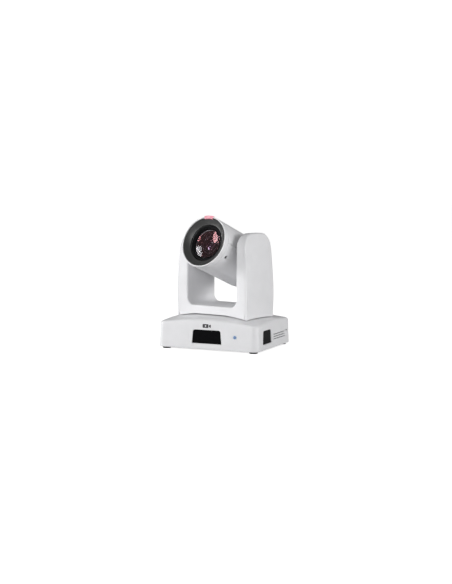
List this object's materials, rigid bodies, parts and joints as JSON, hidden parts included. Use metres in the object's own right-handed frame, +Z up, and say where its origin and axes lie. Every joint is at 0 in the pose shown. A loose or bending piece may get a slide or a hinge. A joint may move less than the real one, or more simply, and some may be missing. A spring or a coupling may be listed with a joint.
{
  "type": "pan-tilt-zoom camera",
  "caption": "Desktop pan-tilt-zoom camera: low rounded base with rear sockets, U-shaped yoke that pans, and a cylindrical zoom-lens head that tilts between its arms.",
  "frame": {"origin": "on the surface the feet stand on, below the pan axis and the middle of the bounding box", "axes": "+Z up along the pan axis; -Y is the base's front, with its window and status light; +X is to the right of a viewer facing the front"},
  "size_m": [0.18, 0.15, 0.2198],
  "materials": {
    "white_plastic": "fine satin grain",
    "black_plastic": "satin",
    "bezel_black": "satin, dark grey",
    "smoked_window": "polished, nearly black",
    "lens_glass": "coated",
    "tally_red": "translucent, pale red",
    "led_blue": "clear, blue",
    "rubber": "matte",
    "steel": "zinc plated",
    "aluminium": "machined",
    "brass": "turned",
    "board_green": "solder mask",
    "port_black": "fine texture",
    "acetal": "natural"
  },
  "bodies": {
    "base": {"base_housing": "white_plastic", "front_ir_window": "smoked_window", "left_ir_window": "smoked_window", "right_ir_window": "smoked_window", "status_led": "led_blue", "foot_front_left": "rubber", "foot_front_right": "rubber", "foot_rear_left": "rubber", "foot_rear_right": "rubber", "base_plate": "steel", "base_screw_front_left": "steel", "base_screw_front_right": "steel", "base_screw_rear_left": "steel", "base_screw_rear_right": "steel", "chassis": "steel", "pan_bearing": "steel", "pan_motor": "steel", "usb_port": "steel", "hdmi_port": "steel", "lan_port": "steel", "sdi_port": "steel", "tripod_insert": "brass", "main_board": "board_green", "rear_panel": "port_black", "dc_jack": "port_black", "control_port": "port_black", "audio_jack": "acetal"},
    "yoke": {"yoke_shell": "white_plastic", "left_arm_cover": "white_plastic", "right_arm_cover": "white_plastic", "turntable": "aluminium", "pan_shaft": "aluminium", "pan_gear": "acetal", "left_tilt_bearing": "steel", "right_tilt_bearing": "steel", "tilt_motor": "steel", "tilt_belt": "rubber"},
    "head": {"head_upper_cover": "white_plastic", "head_lower_cover": "white_plastic", "front_trim_ring": "white_plastic", "lens_hood": "bezel_black", "tally_lamp": "tally_red", "left_tilt_hub": "black_plastic", "right_tilt_hub": "black_plastic", "tilt_pulley": "acetal", "lens_barrel": "black_plastic", "lens_baffle": "black_plastic", "front_lens": "lens_glass", "head_frame": "aluminium", "sensor_board": "board_green", "image_sensor": "smoked_window", "head_screw_left": "steel", "head_screw_right": "steel"},
    "zoom_group": {"zoom_cell": "black_plastic", "zoom_lens": "lens_glass"},
    "focus_group": {"focus_cell": "black_plastic", "focus_lens": "lens_glass"},
    "pan_pinion_body": {"pan_pinion": "steel"},
    "tilt_motor_pulley_body": {"tilt_motor_pulley": "brass"}
  },
  "joints": [
    {"name": "pan", "type": "hinge", "parent": "base", "child": "yoke", "pos_m": [0, 0, 0.06], "axis": [0, 0, 1], "range_deg": [-158.5, 181.5]},
    {"name": "tilt", "type": "hinge", "parent": "yoke", "child": "head", "pos_m": [0, 0, 0.156], "axis": [-0.9799, 0.1994, 0], "range_deg": [-50.3, 69.7]},
    {"name": "zoom", "type": "slide", "parent": "head", "child": "zoom_group", "axis": [0.187, 0.9191, -0.3469], "range_m": [0, 0.016]},
    {"name": "focus", "type": "slide", "parent": "head", "child": "focus_group", "axis": [-0.187, -0.9191, 0.3469], "range_m": [0, 0.005]},
    {"name": "pan_pinion_spin", "type": "hinge", "parent": "base", "child": "pan_pinion_body", "pos_m": [-0.0435, 0, 0.042], "axis": [0, 0, 1], "range_deg": [-875, 765]},
    {"name": "tilt_motor_spin", "type": "hinge", "parent": "yoke", "child": "tilt_motor_pulley_body", "pos_m": [0, 0, 0.098], "axis": [-0.9799, 0.1994, 0], "range_deg": [-152, 210]}
  ],
  "couplings": [
    {"joint": "pan_pinion_spin", "follows": "pan", "ratio": -4.8},
    {"joint": "tilt_motor_spin", "follows": "tilt", "ratio": 3}
  ]
}
